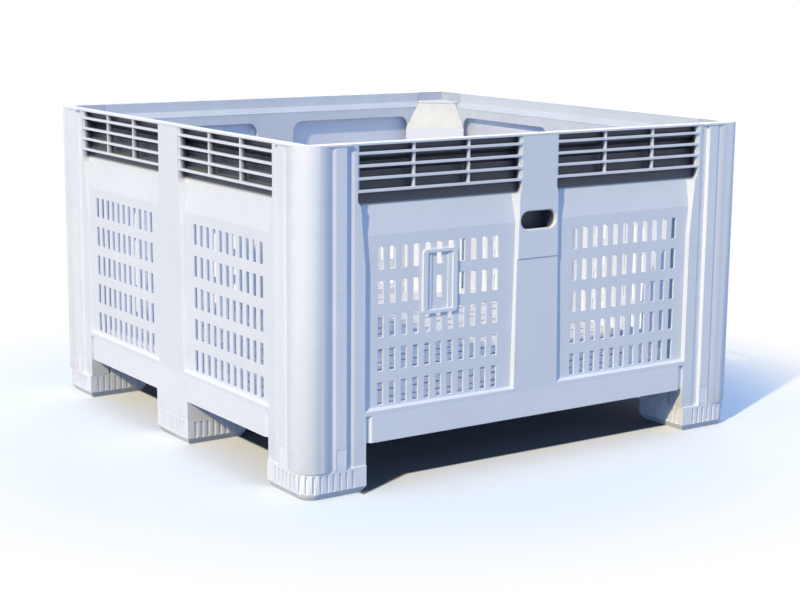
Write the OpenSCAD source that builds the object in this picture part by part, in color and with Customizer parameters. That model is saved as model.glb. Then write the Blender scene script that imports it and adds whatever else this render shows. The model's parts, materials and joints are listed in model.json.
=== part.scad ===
// Ventilated orchard fruit bin: four framed walls between fluted corner posts, on a footed pallet base.
// Millimetres, Z up, origin at the bottom centre. The front face looks along -Y.

/* [Overall] */
// Side of the square footprint, over the corner posts
bin_w = 1194; // [1150:1:1240]
// Overall height
bin_h = 724; // [715:1:760]
// Wall depth, outer face to inner face
wall_t = 50; // [48:0.5:54]
// How far the corner posts stand proud of the wall faces
post_proud = 6.5; // [5:0.5:9]
// Clearance between fitted pieces
fit = 0.3; // [0.2:0.05:0.4]

/* [Corner posts] */
// Radius of the outer vertical corner
corner_r = 42; // [34:1:46]
// Distance from the corner at which the face rolls into the flute
flute_start = 47; // [47:0.5:52]
// Width of the flute at its mouth
flute_w = 31; // [28:0.5:33]
// Width of the flute at its floor
flute_floor = 1.5; // [1:0.5:4]
// Width of the flute's slanted side
flute_riser = 6.5; // [5:0.5:8]
// Depth of the flute
flute_d = 3.6; // [3.2:0.2:5]
// Width of the raised ridge beside the flute
ridge_w = 25; // [22:1:27]
// How far the ridge sits below the post face
ridge_set = 1.5; // [1:0.5:2.5]
// Width of the groove between post and wall frame
joint_w = 13; // [11:1:16]
// Width of that groove's steep side
joint_side = 3; // [2:0.5:4]
// Width of that groove at its floor
joint_floor = 3; // [1:0.5:4]
// Depth of that groove
joint_d = 9.5; // [9.5:0.5:12]
// Thickness of the post shell
post_wall = 6; // [5:0.5:7]
// Length of each leg of the slanted inner face
inner_leg = 116; // [108:1:122]
// Distance below the rim at which the slanted inner face leans back
gusset_drop = 96; // [86:1:110]
// How far it has leaned back at the corner shelf
gusset_lean = 42; // [34:1:46]
// Thickness of the tongue that enters the wall frame
tongue_t = 12; // [9:0.5:13]
// Reach of that tongue
tongue_l = 9; // [6:0.5:9.5]

/* [Wall frame] */
// Width of the centre column
column_w = 96; // [88:1:104]
// Width of the stile behind its lip
stile_w = 16; // [15:0.5:20]
// Thickness of the outer skin and webs
skin_t = 5; // [4:0.5:6]
// Extra lip beside the column at the ledge
lip_in_low = 12; // [9:0.5:15]
// Extra lip beside the column below the louvres
lip_in_top = 4; // [3:0.5:6]
// Extra lip beside the stile at the ledge
lip_out_low = 19; // [15:0.5:22]
// Extra lip beside the stile below the louvres
lip_out_top = 7; // [5:0.5:9]
// Slant of the bay sides, run for each unit of depth
flare = 0.7; // [0.5:0.05:0.9]
// Height of the ledge at the foot of each bay
ledge_z = 169; // [168:0.5:171]
// Height of the step across a column with a hand hole
step_z = 455; // [440:1:470]
// Depth of that step
step_d = 2; // [1:0.5:3]
// Height at which the bay's stile side starts to slant outward
knee_z = 470; // [440:1:500]
// Width of the front leg of the stile under the floor
stile_leg_w = 38; // [34:0.5:38]
// Width of the slant along the frame's outer edges
edge_cham = 9; // [6:0.5:10]
// Depth of that slant
edge_d = 2.5; // [1.5:0.5:3]

/* [Hand hole] */
// Width of the hand hole
hole_w = 95; // [80:1:95]
// Height of the hand hole
hole_h = 39; // [32:1:44]
// Height of its centre
hole_z = 537; // [530:1:560]
// Depth of the collar round it
collar_d = 13; // [9:0.5:16]
// Thickness of the collar
collar_t = 4; // [3:0.5:5]
// Chamfer at the collar's mouth
collar_cham = 2.5; // [1:0.5:3]

/* [Louvres] */
// Distance of the louvre window's foot below the rim
window_drop = 122; // [118:1:126]
// Pitch of the slats
slat_pitch = 25.4; // [24:0.2:26]
// Distance of the first slat below the rim
slat_drop = 20.8; // [18:0.2:22]
// Number of slats
slat_n = 4; // [3:1:4]
// Thickness of a slat at its front
slat_t = 6; // [4:0.5:8]
// Depth of a slat
slat_d = 18; // [14:0.5:18.5]
// Thickness of the uprights between the slats
upright_t = 5; // [3:0.5:7]

/* [Vent panels] */
// Set-back of the vent panel behind the wall face
panel_set = 8; // [6:0.5:10]
// Thickness of the vent panel
panel_t = 4.5; // [3:0.5:5]
// Distance below the rim at which the panel starts to lean in
lean_drop = 189; // [180:1:195]
// Distance of the panel's top below the rim
panel_drop = 62; // [60:0.5:64]
// Set-back of the panel at its top
panel_top_set = 27; // [24:0.5:29]
// Width of a slot
slot_w = 13; // [9:0.5:15]
// Height of a slot
slot_h = 47; // [40:1:50]
// Number of slot columns in a panel
slot_cols = 11; // [9:2:11]
// Pitch of the slot columns
slot_pitch = 29.4; // [27:0.2:30]
// Number of slot rows
slot_rows = 5; // [4:1:5]
// Pitch of the slot rows
row_pitch = 71.2; // [68:0.2:72]
// Height of the lowest row's centre
row_z = 202; // [201:0.5:205]

/* [Rim] */
// Thickness of the rim flange
flange_t = 5; // [4:0.5:6]
// Width of the rim flange
flange_w = 24; // [23:0.5:27]
// Height of the upright inner band
band_h = 26; // [25:0.5:27]
// Distance of the liner's top edge below the rim
liner_drop = 40; // [39:0.5:41]
// Distance of the corner shelf below the rim
shelf_drop = 28; // [26:0.5:30]
// Height of the plain lip above the flutes
cap_lip = 4; // [3:0.5:12]

/* [Liner] */
// Thickness of the liner sheet
liner_t = 5; // [4:0.5:6]
// Radius of the window corners
liner_r = 30; // [20:1:36]
// Margin from the column to the window
liner_in = 6; // [4:0.5:9]
// Radius of the corners at its foot
liner_foot_r = 4; // [3:0.5:8]
// Margin from the stile to the window
liner_out = 33; // [28:1:38]
// Margin from the floor to the window
liner_low = 14; // [10:1:18]

/* [Base] */
// Height of the feet
foot_h = 57; // [50:1:60]
// How far the corner foot is set back from the post
foot_set = 3; // [2:0.5:4]
// Height of the fork openings
fork_h = 102; // [95:1:106]
// Height of the floor's top face
deck_z = 160; // [158:0.5:161]
// Thickness of the floor
deck_t = 6; // [5:0.5:8]
// Thickness of the sills round the floor
sill_t = 8; // [6:0.5:9]
// Distance of the sill's end from the corner
sill_end = 158; // [156:0.5:159]
// Slant at the sill's ends
sill_cham = 11; // [6:1:13]
// Thickness of the underside ribs
rib_t = 5; // [4:0.5:7]
// Pitch of the underside ribs
rib_pitch = 110; // [106:0.5:110]
// Width of a leg and its foot
leg_w = 153; // [150:0.5:156]
// Depth of a centre leg
leg_d = 150; // [130:1:165]
// Thickness of the leg walls
leg_wall = 6; // [5:0.5:7]
// Length of a floor slot
drain_l = 80; // [60:1:86]
// Width of a floor slot
drain_w = 12; // [8:0.5:16]

/* [Feet] */
// Thickness of a foot's outer wall
foot_wall = 16; // [12:0.5:18]
// Thickness of a foot's sole
foot_sole = 10; // [9:0.5:12]
// Height of the slant at the sole
sole_cham_h = 14; // [10:0.5:18]
// Width of the slant at the sole
sole_cham_w = 9; // [5:0.5:11]
// Pitch of the grooves round a foot
groove_pitch = 15.5; // [14.5:0.5:17]
// Width of a groove
groove_w = 6.5; // [5:0.5:8]
// Depth of a groove
groove_d = 4.5; // [2:0.5:5.5]
// Height of the plain band over the grooves
foot_band = 6; // [4:0.5:9]
// Height of the snap tongue over the foot
snap_h = 44; // [36:1:48]
// Height of the spigot over the foot
spigot_h = 20; // [14:1:26]

/* [Card holder] */
// Width of the card holder
card_w = 88; // [84:1:94]
// Height of the card holder
card_h = 136; // [126:1:142]
// Height of its centre
card_z = 427; // [424:1:430]
// Width of the raised bars
card_bar = 12; // [9:0.5:13]
// Height of the rails across its top and bottom
card_rail = 7; // [5:0.5:10]
// Width of the low inner flange
card_flange = 11; // [9:0.5:12]
// Radius of the outer corners
card_r = 8; // [5:0.5:11]
// How far the bars stand off the vent panel
card_d = 5; // [4:0.5:6]

/* [Fasteners] */
// Diameter of a foot bolt
bolt_d = 8; // [6:0.5:9]
// Diameter of a foot bolt's head
bolt_head = 18; // [14:1:19]
// Diameter of the frame's stakes through the liner
stake_d = 8; // [6:0.5:10]

/* [Hidden] */
$fn = 48;
SIDES = ["front", "right", "rear", "left"];
CORNERS = ["front_left", "front_right", "rear_right", "rear_left"];
BAYS = ["bay_a", "bay_b"];
half_w = bin_w / 2;
wall_y = half_w - post_proud;
flute_end = flute_start + flute_w;
roll_end = flute_end - flute_riser - flute_floor;
roll_w = roll_end - flute_start;
roll_r = (roll_w * roll_w + flute_d * flute_d) / (2 * flute_d);
ridge_end = flute_end + ridge_w;
reach = ridge_end + joint_w;
frame_half = half_w - reach;
bay_in = column_w / 2;
bay_out = frame_half - stile_w;
bay_mid = (bay_in + bay_out) / 2;
bay_l = bay_out - bay_in;
frame_d = wall_t - liner_t;
rim_z = bin_h - flange_t;
band_z = bin_h - band_h;
liner_z = bin_h - liner_drop;
shelf_z = bin_h - shelf_drop;
window_z = bin_h - window_drop;
window_cham = 6;
slat_z = bin_h - slat_drop;
lean_z = bin_h - lean_drop;
panel_z = bin_h - panel_drop;
lean = (panel_top_set - panel_set) / (panel_z - lean_z);
band_t = 4.5;
crest_d = flange_w - band_t - fit;
seat_z = deck_z + 6;
rail_t = 7;
tongue_y = post_proud + frame_d / 2 + 2.5;
tongue_z0 = deck_z + 10;
tongue_z1 = liner_z - 4;
inner_q = post_proud + wall_t + fit;
slant_sum = 2 * inner_q + inner_leg;
hollow_p = max(flute_d, joint_d) + post_wall;
hollow_e = reach - fit - post_wall;
hollow_q = inner_q + post_wall;
hollow_s = slant_sum - post_wall * sqrt(2) - hollow_q;
shin_t = 44;
sole_ease = 0.4;
socket_w = 66;
web_z = [300, step_z];
tab_l = 4;
tab_h = 12;
tab_v = 6;
tab_w = 7;
tab_z = slat_z - 1.5 * slat_pitch;
peg_d = 14;
peg_l = 16;
peg_u = [150, 350];
peg_v = 25;
stake_u = 25;
stake_z = [deck_z + 80, deck_z + 220, panel_z - 52];
stake_post_d = 15;
rail_stake_u = [150, 350];
rail_stake_z = (panel_z + panel_t + liner_z) / 2;
boss_d = 26;
bolt_head_t = 4;
bolt_l = 90;
bolt_gap = 1.5;
leg_c = (inner_q + leg_w) / 2;
stile_end = reach + stile_leg_w + 0.5;
web_lap = 3;
leg_web_z = foot_h + spigot_h + web_lap;
drain_off = 26;
card_leg_w = 10;
card_leg_h = 9;
card_row = row_z + 3 * row_pitch;

// Helpers

// Children drawn in wall terms (X along the wall, Y inward from its face) go to side k.
module on_side(k) {
    rotate([0, 0, 90 * k])
        translate([0, -wall_y, 0])
            children();
}

// Children drawn in corner terms (X and Y inward from the sharp corner) go to corner k.
module on_corner(k) {
    rotate([0, 0, 90 * k])
        translate([-half_w, -half_w, 0])
            children();
}

// A section in depth and height, run along the wall from u0 to u1.
module along(u0, u1) {
    translate([u0, 0, 0])
        rotate([90, 0, 90])
            linear_extrude(u1 - u0)
                children();
}

// A shape in the plane of the wall, run inward from depth v0 to v1.
module inward(v0, v1) {
    translate([0, v1, 0])
        rotate([90, 0, 0])
            linear_extrude(v1 - v0)
                children();
}

module box(x0, x1, y0, y1, z0, z1) {
    translate([x0, y0, z0])
        cube([x1 - x0, y1 - y0, z1 - z0]);
}

// A rectangle with round corners between two opposite points.
module round_rect(x0, y0, x1, y1, r) {
    translate([x0 + r, y0])
        square([x1 - x0 - 2 * r, y1 - y0]);
    translate([x0, y0 + r])
        square([x1 - x0, y1 - y0 - 2 * r]);
    for (x = [x0 + r, x1 - r], y = [y0 + r, y1 - r])
        translate([x, y])
            circle(r);
}

// The sliver outside a round at the corner of a plan.
module corner_waste(r) {
    difference() {
        translate([-1, -1])
            square(r + 1);
        translate([r, r])
            circle(r);
    }
}

// Wall frame

// Bay edges on the wall face at height z.
function edge_in(z) = bay_in + lip_in_low
    + (lip_in_top - lip_in_low) * (z - ledge_z) / (window_z - ledge_z);

// Half of a bay's space, bounded by one slanted side that runs out by run between heights z0 and z1.
module flare_side(u0, run, z0, z1, s) {
    v1 = panel_top_set;
    translate([u0, 0, z0])
        rotate([0, atan(run / (z1 - z0)), 0])
            translate([0, 0, ledge_z - z0 - 30])
                linear_extrude(window_z - ledge_z + 60)
                    polygon([[-s * flare, -1], [s * flare * v1, v1], [s * bay_l, v1], [s * bay_l, -1]]);
}

// The flared space in front of a vent panel.
module bay_flare() {
    v1 = panel_top_set;
    low = bay_out - lip_out_low;
    intersection() {
        flare_side(edge_in(ledge_z), lip_in_top - lip_in_low, ledge_z, window_z, 1);
        union() {
            flare_side(low, 0, ledge_z, window_z, -1);
            flare_side(low, lip_out_low - lip_out_top, knee_z, window_z, -1);
        }
        along(bay_in, bay_out)
            polygon([
                [-1, ledge_z - flare], [v1, ledge_z + flare * v1], [v1, window_z + 2],
                [-1, window_z + 2]]);
    }
}

// The open window that holds the louvres, with slanted lower corners.
module window_shape() {
    z0 = window_z - window_cham;
    z1 = window_z + window_cham;
    polygon([
        [bay_in + lip_in_top, z0], [bay_out - lip_out_top, z0], [bay_out, z1],
        [bay_out, rim_z + 1], [bay_in, rim_z + 1], [bay_in, z1]]);
}

// The seat behind the lips, in depth and height.
module seat_section() {
    polygon([
        [panel_set - fit, seat_z], [panel_set - fit, lean_z], [panel_top_set - fit, panel_z],
        [panel_top_set - fit, window_z + 70], [wall_t, window_z + 70], [wall_t, seat_z]]);
}

module frame_plan() {
    polygon([
        [-frame_half, edge_d], [edge_cham - frame_half, 0], [frame_half - edge_cham, 0],
        [frame_half, edge_d], [frame_half, frame_d], [-frame_half, frame_d]]);
}

// The hand hole's outline, grown by g all round.
module hand_hole_shape(g) {
    r = hole_h / 2;
    u = hole_w / 2 - r;
    translate([-u, hole_z - r - g])
        square([2 * u, hole_h + 2 * g]);
    for (s = [-1, 1])
        translate([s * u, hole_z])
            circle(r + g);
}

// The slanted mouth in front of the hand hole.
module hand_hole_mouth() {
    r = hole_h / 2;
    u = hole_w / 2 - r;
    c = collar_cham;
    along(-u, u)
        polygon([
            [-1, hole_z - r - c - 1], [c, hole_z - r], [c, hole_z + r], [-1, hole_z + r + c + 1]]);
    for (s = [-1, 1])
        translate([s * u, -1, hole_z])
            rotate([-90, 0, 0])
                cylinder(r1 = r + c + 1, r2 = r, h = c + 1);
}

module frame_block() {
    translate([0, 0, deck_z])
        linear_extrude(rim_z - deck_z)
            frame_plan();
    translate([0, 0, foot_h])
        linear_extrude(deck_z - foot_h)
            difference() {
                frame_plan();
                translate([stile_leg_w - frame_half, -1])
                    square([2 * (frame_half - stile_leg_w), wall_t]);
            }
}

// Stakes that pass through the liner, flush with its inner face.
module frame_stakes() {
    for (u = [-stake_u, stake_u], z = stake_z)
        translate([u, skin_t - 1, z])
            rotate([-90, 0, 0])
                cylinder(d = stake_post_d, h = frame_d - skin_t + 1);
    stake_places()
        translate([0, 0, -liner_t - 1])
            cylinder(d = stake_d, h = liner_t + 1);
}

module frame_column_hollow() {
    w = bay_in - skin_t;
    box(-w, w, skin_t, wall_t, seat_z + 6, web_z[0] - skin_t);
    box(-w, w, skin_t, wall_t, web_z[0], web_z[1] - skin_t);
    box(-w, w, skin_t, wall_t, web_z[1], panel_z + 2);
    box(-w, w, skin_t, wall_t, liner_z + 6, rim_z - 7);
}

module wall_frame(hand_hole) {
    color("WhiteSmoke")
        difference() {
            union() {
                difference() {
                    frame_block();
                    for (s = [0, 1])
                        mirror([s, 0, 0]) {
                            bay_flare();
                            inward(-1, wall_t)
                                window_shape();
                            along(bay_in, bay_out)
                                seat_section();
                        }
                    frame_column_hollow();
                }
                box(-frame_half, frame_half, frame_d - rail_t, frame_d, panel_z + panel_t + fit, liner_z);
                frame_stakes();
                if (hand_hole)
                    inward(1, collar_d)
                        hand_hole_shape(collar_t);
                for (s = [-1, 1], u = peg_u)
                    translate([s * u, peg_v, deck_z - peg_l])
                        cylinder(d = peg_d, h = peg_l + 1);
            }
            box(-frame_half - 1, frame_half + 1, crest_d, wall_t, liner_z, bin_h);
            for (s = [0, 1])
                mirror([s, 0, 0]) {
                    box(
                        frame_half - tongue_l - 2 * fit, frame_half + 1,
                        tongue_y - post_proud - tongue_t / 2 - fit,
                        tongue_y - post_proud + tongue_t / 2 + fit,
                        tongue_z0 - 1, liner_z + 1);
                    box(
                        bay_in - tab_l - fit, bay_out + tab_l + fit, tab_v - fit, tab_v + tab_w + fit,
                        tab_z - tab_h / 2 - fit, tab_z + tab_h / 2 + fit);
                }
            if (hand_hole) {
                inward(-1, collar_d + 1)
                    hand_hole_shape(0);
                hand_hole_mouth();
                along(-bay_in - lip_in_low, bay_in + lip_in_low)
                    polygon([[-1, ledge_z], [0, ledge_z], [step_d, step_z], [-1, step_z]]);
            }
        }
}

// Vent panel

module panel_section() {
    z0 = seat_z + fit;
    z1 = panel_z + panel_t;
    v1 = frame_d - fit;
    k = panel_t * sqrt(1 + lean * lean);
    polygon([
        [panel_set, z0], [panel_set, lean_z], [panel_top_set, panel_z], [panel_top_set, z1],
        [v1, z1], [v1, panel_z], [panel_top_set + k, panel_z],
        [panel_set + panel_t, lean_z - (k - panel_t) / lean], [panel_set + panel_t, z0]]);
}

module slot_field() {
    for (c = [0 : slot_cols - 1], r = [0 : slot_rows - 1])
        translate([bay_mid + (c - (slot_cols - 1) / 2) * slot_pitch, row_z + r * row_pitch])
            square([slot_w, slot_h], center = true);
}

module vent_panel() {
    color("Gainsboro")
        difference() {
            along(bay_in + fit, bay_out - fit)
                panel_section();
            inward(panel_set - 1, panel_set + panel_t + 1)
                slot_field();
        }
}

// Louvre grille

module slat_section() {
    polygon([
        [0, -slat_t / 2], [0, slat_t / 2], [slat_d, slat_t / 2 - 1], [slat_d, 1 - slat_t / 2]]);
}

module louvre() {
    u0 = bay_in + fit;
    u1 = bay_out - fit;
    z0 = slat_z - (slat_n - 1) * slat_pitch;
    z1 = rim_z - fit;
    color("LightGray") {
        for (i = [0 : slat_n - 1])
            translate([0, 0, slat_z - i * slat_pitch])
                along(u0, u1)
                    slat_section();
        for (u = [bay_in + bay_l / 3, bay_in + 2 * bay_l / 3])
            box(u - upright_t / 2, u + upright_t / 2, 3, slat_d, z0, z1);
        for (u = [u0, u1 - skin_t])
            box(u, u + skin_t, 3, slat_d, z0, z1);
        box(bay_in - tab_l, u0 + 1, tab_v, tab_v + tab_w, tab_z - tab_h / 2, tab_z + tab_h / 2);
        box(u1 - 1, bay_out + tab_l, tab_v, tab_v + tab_w, tab_z - tab_h / 2, tab_z + tab_h / 2);
    }
}

// Inner liner

// A window in the liner, with tighter corners at its foot.
module liner_window() {
    u0 = bay_in + liner_in;
    u1 = bay_out - liner_out;
    z0 = deck_z + liner_low;
    round_rect(u0, z0, u1, panel_z - 1, liner_r);
    round_rect(u0, z0, u1, z0 + 3 * liner_r, liner_foot_r);
}

module inner_liner() {
    w = frame_half - fit;
    color("White")
        difference() {
            inward(frame_d, wall_t)
                difference() {
                    translate([-w, deck_z])
                        square([2 * w, liner_z - deck_z]);
                    for (s = [0, 1])
                        mirror([s, 0])
                            liner_window();
                }
            stake_places()
                translate([0, 0, -liner_t - 1])
                    cylinder(d = stake_d + 2 * fit, h = liner_t + 2);
        }
}

// Children at every stake of a wall, on the liner's inner face, with Z pointing into the bin.
module stake_places() {
    for (u = [-stake_u, stake_u], z = stake_z)
        translate([u, wall_t, z])
            rotate([-90, 0, 0])
                children();
    for (s = [-1, 1], u = rail_stake_u)
        translate([s * u, wall_t, rail_stake_z])
            rotate([-90, 0, 0])
                children();
}

// Rim rail

module rim_section() {
    v0 = flange_w - band_t;
    polygon([
        [0, rim_z], [0, bin_h], [flange_w, bin_h], [flange_w, band_z], [wall_t, liner_z + 2.5],
        [wall_t, liner_z], [wall_t - 9, liner_z], [v0, band_z - 4], [v0, rim_z]]);
}

module rim_rail() {
    color("White")
        along(fit - frame_half, frame_half - fit)
            rim_section();
}

// Corner post

// Half of the post outline, from the first flute round to the slanted inner face.
function post_half(tongue) = concat(
    [
        [roll_end, 0],
        [roll_end, flute_d],
        [roll_end + flute_floor, flute_d],
        [flute_end, ridge_set],
        [ridge_end, ridge_set],
        [ridge_end + joint_side, joint_d],
        [ridge_end + joint_side + joint_floor, joint_d],
        [reach - fit, post_proud + edge_d]],
    tongue ? [
        [reach - fit, tongue_y - tongue_t / 2],
        [reach + tongue_l, tongue_y - tongue_t / 2],
        [reach + tongue_l, tongue_y + tongue_t / 2],
        [reach - fit, tongue_y + tongue_t / 2]] : [],
    [[reach - fit, inner_q], [inner_q + inner_leg, inner_q]]);

// The sliver outside the round that rolls from the post's face down to the flute.
module roll_waste() {
    difference() {
        translate([flute_start, -1])
            square([roll_w + 1, flute_d + 1]);
        translate([flute_start, roll_r])
            circle(roll_r);
    }
}

module post_outline(tongue) {
    a = post_half(tongue);
    n = len(a);
    difference() {
        polygon(concat([[0, 0]], a, [for (i = [n - 1 : -1 : 0]) [a[i][1], a[i][0]]]));
        corner_waste(corner_r);
        for (s = [0, 1])
            mirror([s, -s])
                roll_waste();
    }
}

module post_hollow() {
    polygon([
        [hollow_p, hollow_p], [hollow_e, hollow_p], [hollow_e, hollow_q], [hollow_s, hollow_q],
        [hollow_q, hollow_s], [hollow_q, hollow_e], [hollow_p, hollow_e]]);
}

// The two arms of the post that run down past the floor.
module post_arms() {
    square([reach - fit, shin_t]);
    square([shin_t, reach - fit]);
}

module post_length(z0, z1) {
    translate([0, 0, z0])
        linear_extrude(z1 - z0)
            children();
}

// The post's lip that closes the rim at the corner.
module lip_plan() {
    intersection() {
        children();
        union() {
            square([reach - fit, post_proud + flange_w]);
            square([post_proud + flange_w, reach - fit]);
        }
    }
}

module plain_corner() {
    difference() {
        square(reach - fit);
        corner_waste(corner_r);
    }
}

// Everything inward of the leaning top of the slanted face.
module gusset_waste() {
    z0 = bin_h - gusset_drop;
    run = gusset_lean * (bin_h - z0) / (shelf_z - z0);
    k = sqrt(2) / 2;
    translate([slant_sum / 2, slant_sum / 2, z0])
        rotate([0, 0, 45])
            rotate([0, -atan(run * k / (bin_h - z0)), 0])
                translate([0, -slant_sum, 0])
                    cube([slant_sum, 2 * slant_sum, slant_sum]);
}

module post_shell(tongue) {
    difference() {
        post_outline(tongue);
        post_hollow();
    }
}

module corner_post() {
    z0 = bin_h - gusset_drop - post_wall;
    color("WhiteSmoke")
        difference() {
            union() {
                post_length(foot_h, deck_z)
                    difference() {
                        intersection() {
                            post_outline(false);
                            post_arms();
                        }
                        translate([hollow_p, hollow_p])
                            square(hollow_e - hollow_p);
                    }
                post_length(deck_z, tongue_z0)
                    post_shell(false);
                post_length(tongue_z0, z0)
                    post_shell(true);
                difference() {
                    union() {
                        post_length(z0, tongue_z1)
                            post_outline(true);
                        post_length(tongue_z1, shelf_z)
                            post_outline(false);
                    }
                    post_length(z0 - 1, shelf_z + 1)
                        translate([hollow_p, hollow_p])
                            square(socket_w);
                }
                post_length(shelf_z, bin_h - cap_lip)
                    lip_plan()
                        post_outline(false);
                post_length(bin_h - cap_lip, bin_h)
                    lip_plan()
                        plain_corner();
            }
            gusset_waste();
            for (s = [0, 1])
                mirror([s, -s, 0])
                    box(flute_end + 1, ridge_end - 1, -1, hollow_p + 1, foot_h - 1, foot_h + snap_h + fit);
        }
}

// Corner cap: the shelf that closes the post inside the rim, with a spigot into the post's socket.

module shelf_plan() {
    a = post_proud + flange_w + fit;
    e = reach - fit;
    s = slant_sum - gusset_lean - inner_q;
    polygon([
        [a, a], [e, a], [e, inner_q], [s, inner_q], [inner_q, s], [inner_q, e], [a, e]]);
}

module corner_cap() {
    a = post_proud + flange_w + fit;
    color("White") {
        post_length(shelf_z, shelf_z + post_wall)
            shelf_plan();
        post_length(shelf_z - spigot_h, shelf_z)
            translate([a, a])
                square(hollow_p + socket_w - fit - a);
    }
}

// Pallet base

module corner_leg() {
    difference() {
        union() {
            post_length(foot_h, deck_z - deck_t)
                difference() {
                    translate([inner_q, inner_q])
                        square(leg_w - inner_q);
                    translate([inner_q + leg_wall, inner_q + leg_wall])
                        square(leg_w - inner_q - 2 * leg_wall);
                }
            translate([leg_c, leg_c, foot_h])
                cylinder(d = boss_d, h = deck_z - deck_t - foot_h);
            box(inner_q + 1, leg_w - 1, leg_c - rib_t / 2, leg_c + rib_t / 2, leg_web_z, deck_z - deck_t);
            for (s = [0, 1])
                mirror([s, -s, 0])
                    box(
                        stile_end, sill_end + web_lap, post_proud + sill_t - 1, inner_q + leg_wall,
                        fork_h, deck_z - deck_t);
            for (s = [0, 1])
                mirror([s, -s, 0])
                    box(
                        leg_w - web_lap, sill_end + web_lap, inner_q, inner_q + leg_wall,
                        fork_h, deck_z - deck_t);
        }
        translate([leg_c, leg_c, foot_h - 1])
            cylinder(d = bolt_d + 2 * fit, h = bolt_l);
    }
}

module centre_leg() {
    w = leg_w / 2;
    difference() {
        union() {
            difference() {
                box(-w, w, 0, leg_d, foot_h, deck_z - deck_t);
                box(leg_wall - w, w - leg_wall, leg_wall, leg_d - leg_wall, foot_h - 1, deck_z);
            }
            translate([0, leg_d / 2, foot_h])
                cylinder(d = boss_d, h = deck_z - deck_t - foot_h);
            box(1 - w, w - 1, (leg_d - rib_t) / 2, (leg_d + rib_t) / 2, leg_web_z, deck_z - deck_t);
        }
        translate([0, leg_d / 2, foot_h - 1])
            cylinder(d = bolt_d + 2 * fit, h = bolt_l);
    }
}

module sill() {
    w = half_w - sill_end;
    translate([0, 0, fork_h])
        linear_extrude(deck_z - fork_h)
            polygon([[sill_cham - w, 0], [w - sill_cham, 0], [w, sill_t], [-w, sill_t]]);
}

module underside_ribs() {
    w = wall_y - sill_t + 1;
    for (a = [0, 90], i = [-4 : 4])
        rotate([0, 0, a])
            box(
                i * rib_pitch - rib_t / 2, i * rib_pitch + rib_t / 2, -w, w,
                fork_h, deck_z - deck_t);
}

module pallet_base() {
    color("Silver")
        difference() {
            union() {
                for (k = [0 : 3]) {
                    on_side(k)
                        sill();
                    on_corner(k)
                        corner_leg();
                }
                for (k = [1, 3])
                    on_side(k)
                        centre_leg();
                difference() {
                    underside_ribs();
                    for (k = [1, 3])
                        on_side(k)
                            box(
                                leg_wall - leg_w / 2, leg_w / 2 - leg_wall, leg_wall, leg_d - leg_wall,
                                foot_h, deck_z);
                }
            }
            for (k = [0 : 3])
                on_side(k)
                    peg_places()
                        cylinder(d = peg_d + 2, h = peg_l + 4);
        }
}

module peg_places() {
    for (s = [-1, 1], u = peg_u)
        translate([s * u, peg_v, deck_z - peg_l - 1])
            children();
}

// Floor deck

module deck_plan() {
    w = wall_y - sill_t - fit;
    c = inner_q;
    e = stile_end;
    difference() {
        square(2 * w, center = true);
        for (k = [0 : 3])
            rotate(90 * k)
                translate([-half_w, -half_w]) {
                    square([e, c]);
                    square([c, e]);
                }
        for (i = [-4.5 : 4.5], j = [-4.5 : 4.5], s = [-1, 1])
            if (abs(i) + abs(j) < 7.5)
                translate([i * rib_pitch, j * rib_pitch + s * drain_off])
                    square([drain_l, drain_w], center = true);
        for (k = [0 : 3], s = [-1, 1], u = peg_u)
            rotate(90 * k)
                translate([s * u, peg_v - wall_y])
                    circle(d = peg_d + 2 * fit);
    }
}

module floor_deck() {
    color("Gainsboro")
        translate([0, 0, deck_z - deck_t])
            linear_extrude(deck_t)
                deck_plan();
}

// Feet

module sole_wedge(l) {
    along(-1, l + 1)
        polygon([[-1, -1], [sole_cham_w * (1 + 1 / sole_cham_h), -1], [-1, sole_cham_h * (1 + 1 / sole_cham_w)]]);
}

// What the slanted sole leaves out round the foot's outer corner of radius r.
module sole_corner_waste(r) {
    k = sole_cham_w / sole_cham_h;
    difference() {
        translate([-1, -1, -1])
            cube([r + 1, r + 1, sole_cham_h + 1]);
        translate([r, r, -2])
            cylinder(
                r1 = r - sole_cham_w - 2 * k + sole_ease, r2 = r + 2 * k + sole_ease,
                h = sole_cham_h + 4);
    }
}

// Grooves along one side of a foot, n of them from the first centre a.
module side_grooves(a, n) {
    for (i = [0 : n - 1])
        translate([a + i * groove_pitch - groove_w / 2, -1, sole_cham_h])
            cube([groove_w, groove_d + 1, foot_h - sole_cham_h - foot_band]);
}

module foot_block(w, d) {
    difference() {
        cube([w, d, foot_h]);
        translate([foot_wall, foot_wall, foot_sole])
            cube([w - 2 * foot_wall, d - 2 * foot_wall, foot_h]);
        sole_wedge(w);
        translate([w, d, 0])
            rotate(180)
                sole_wedge(w);
        translate([w, 0, 0])
            rotate(90)
                sole_wedge(d);
        translate([0, d, 0])
            rotate(-90)
                sole_wedge(d);
    }
}

// A square tube from the sole up into the leg, with the bolt's boss inside it.
module foot_spigot(x0, x1, y0, y1, xc, yc) {
    difference() {
        box(x0, x1, y0, y1, foot_sole - 1, foot_h + spigot_h);
        box(
            x0 + leg_wall, x1 - leg_wall, y0 + leg_wall, y1 - leg_wall,
            foot_sole, foot_h + spigot_h + 1);
    }
    translate([xc, yc, foot_sole - 1])
        cylinder(d = boss_d, h = foot_h - foot_sole + 1);
}

module bolt_room() {
    translate([0, 0, -1])
        cylinder(d = bolt_d + 2 * fit, h = foot_h + 2);
    translate([0, 0, -1])
        cylinder(d = bolt_head + 3, h = 1 + bolt_gap + bolt_head_t);
}

function groove_count(l) = floor(l / groove_pitch) - 1;

// Grooves spread evenly along a side of length l.
module centred_grooves(l) {
    n = groove_count(l);
    side_grooves((l - (n - 1) * groove_pitch) / 2, n);
}

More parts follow.
